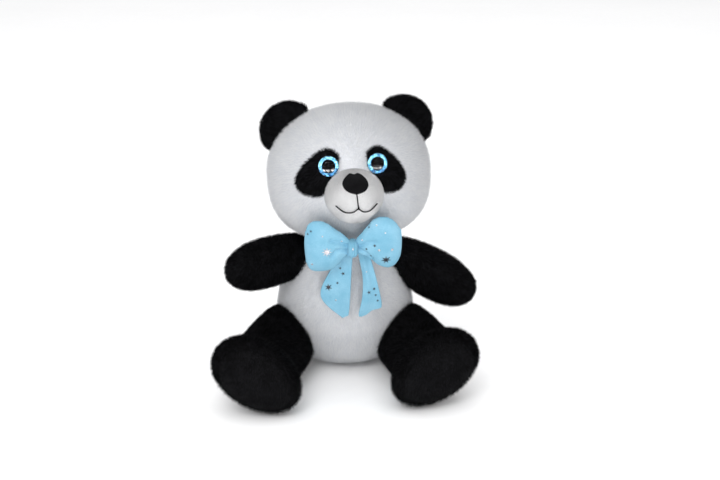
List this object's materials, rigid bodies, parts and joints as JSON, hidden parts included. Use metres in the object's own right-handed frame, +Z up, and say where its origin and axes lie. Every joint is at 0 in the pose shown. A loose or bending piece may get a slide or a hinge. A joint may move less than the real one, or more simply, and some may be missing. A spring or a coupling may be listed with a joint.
{
  "type": "plush panda toy",
  "caption": "Sitting plush panda with black ears, arms and legs, domed glitter eyes, a stitched smile and a padded light blue bow with foil stars.",
  "frame": {"origin": "middle of the flat seat under the torso, on the surface that the toy sits on", "axes": "+Z up, -Y the way the toy faces, +X to the toy's own left"},
  "size_m": [0.285, 0.2312, 0.2961],
  "materials": {
    "white_plush": "white plush pile, a few millimetres long",
    "black_plush": "black plush pile",
    "short_pile": "short warm-white pile on the muzzle",
    "sole_velour": "short black velour on the soles",
    "stuffing": "white polyester fibre filling",
    "nose_felt": "matte black felt",
    "thread": "black embroidery thread",
    "clear_plastic": "clear polished dome",
    "black_plastic": "glossy black",
    "glitter_foil": "blue glitter foil",
    "washer_plastic": "plain plastic",
    "bow_velour": "light blue velour with silver foil stars"
  },
  "bodies": {
    "torso": {"torso_front_panel": "white_plush", "torso_back_panel": "white_plush", "torso_stuffing": "stuffing", "bow_knot": "bow_velour", "bow_loop_left": "bow_velour", "bow_filling_left": "stuffing", "bow_loop_right": "bow_velour", "bow_filling_right": "stuffing"},
    "neck": {"neck_stuffing": "stuffing"},
    "head": {"head_front_panel": "white_plush", "head_back_panel": "white_plush", "head_stuffing": "stuffing", "muzzle_panel": "short_pile", "muzzle_stuffing": "stuffing", "nose_patch": "nose_felt", "mouth_thread": "thread", "eye_patch_left": "black_plush", "eye_dome_left": "clear_plastic", "eye_post_left": "black_plastic", "glitter_ring_left": "glitter_foil", "eye_washer_left": "washer_plastic", "eye_patch_right": "black_plush", "eye_dome_right": "clear_plastic", "eye_post_right": "black_plastic", "glitter_ring_right": "glitter_foil", "eye_washer_right": "washer_plastic"},
    "ear_left": {"ear_front_left": "black_plush", "ear_back_left": "black_plush"},
    "arm_left": {"arm_front_left": "black_plush", "arm_back_left": "black_plush", "arm_stuffing_left": "stuffing"},
    "leg_left": {"foot_sole_left": "sole_velour", "leg_top_left": "black_plush", "leg_under_left": "black_plush", "leg_stuffing_left": "stuffing"},
    "bow_tail_left": {"bow_tail_left": "bow_velour"},
    "ear_right": {"ear_front_right": "black_plush", "ear_back_right": "black_plush"},
    "arm_right": {"arm_front_right": "black_plush", "arm_back_right": "black_plush", "arm_stuffing_right": "stuffing"},
    "leg_right": {"foot_sole_right": "sole_velour", "leg_top_right": "black_plush", "leg_under_right": "black_plush", "leg_stuffing_right": "stuffing"},
    "bow_tail_right": {"bow_tail_right": "bow_velour"}
  },
  "joints": [
    {"name": "head_turn", "type": "hinge", "parent": "torso", "child": "neck", "pos_m": [0, -0.01, 0.157], "axis": [0, 0, 1], "range_deg": [-13, 5], "stiffness_Nm_per_rad": 0.4},
    {"name": "head_nod", "type": "hinge", "parent": "neck", "child": "head", "pos_m": [0, -0.01, 0.157], "axis": [1, 0, 0], "range_deg": [-10, 0], "stiffness_Nm_per_rad": 0.5},
    {"name": "ear_bend_left", "type": "hinge", "parent": "head", "child": "ear_left", "pos_m": [0.06108, 0.00398, 0.26484], "axis": [0.6375, -0.0475, -0.769], "range_deg": [-15, 15], "stiffness_Nm_per_rad": 0.05},
    {"name": "ear_bend_right", "type": "hinge", "parent": "head", "child": "ear_right", "pos_m": [-0.05825, -0.00541, 0.26024], "axis": [0.5615, 0.1418, 0.8152], "range_deg": [-15, 15], "stiffness_Nm_per_rad": 0.05},
    {"name": "shoulder_left", "type": "hinge", "parent": "torso", "child": "arm_left", "pos_m": [0.051, -0.016, 0.1275], "axis": [-0.0698, -0.9976, 0], "range_deg": [-8, 20], "stiffness_Nm_per_rad": 0.3},
    {"name": "shoulder_right", "type": "hinge", "parent": "torso", "child": "arm_right", "pos_m": [-0.039, -0.016, 0.1275], "axis": [-0.5592, 0.829, 0], "range_deg": [-15, 1], "stiffness_Nm_per_rad": 0.3},
    {"name": "hip_left", "type": "hinge", "parent": "torso", "child": "leg_left", "pos_m": [0.059, -0.028, 0.0375], "axis": [-0.9505, -0.3107, 0], "range_deg": [-20, 11], "stiffness_Nm_per_rad": 0.5},
    {"name": "hip_right", "type": "hinge", "parent": "torso", "child": "leg_right", "pos_m": [-0.059, -0.028, 0.0375], "axis": [-0.9697, 0.2444, 0], "range_deg": [-20, 11], "stiffness_Nm_per_rad": 0.5},
    {"name": "tail_lift_left", "type": "hinge", "parent": "torso", "child": "bow_tail_left", "pos_m": [0.0224, -0.0825, 0.129], "axis": [-1, 0, 0], "range_deg": [0, 45]},
    {"name": "tail_lift_right", "type": "hinge", "parent": "torso", "child": "bow_tail_right", "pos_m": [-0.0064, -0.0825, 0.129], "axis": [-1, 0, 0], "range_deg": [0, 45]}
  ]
}
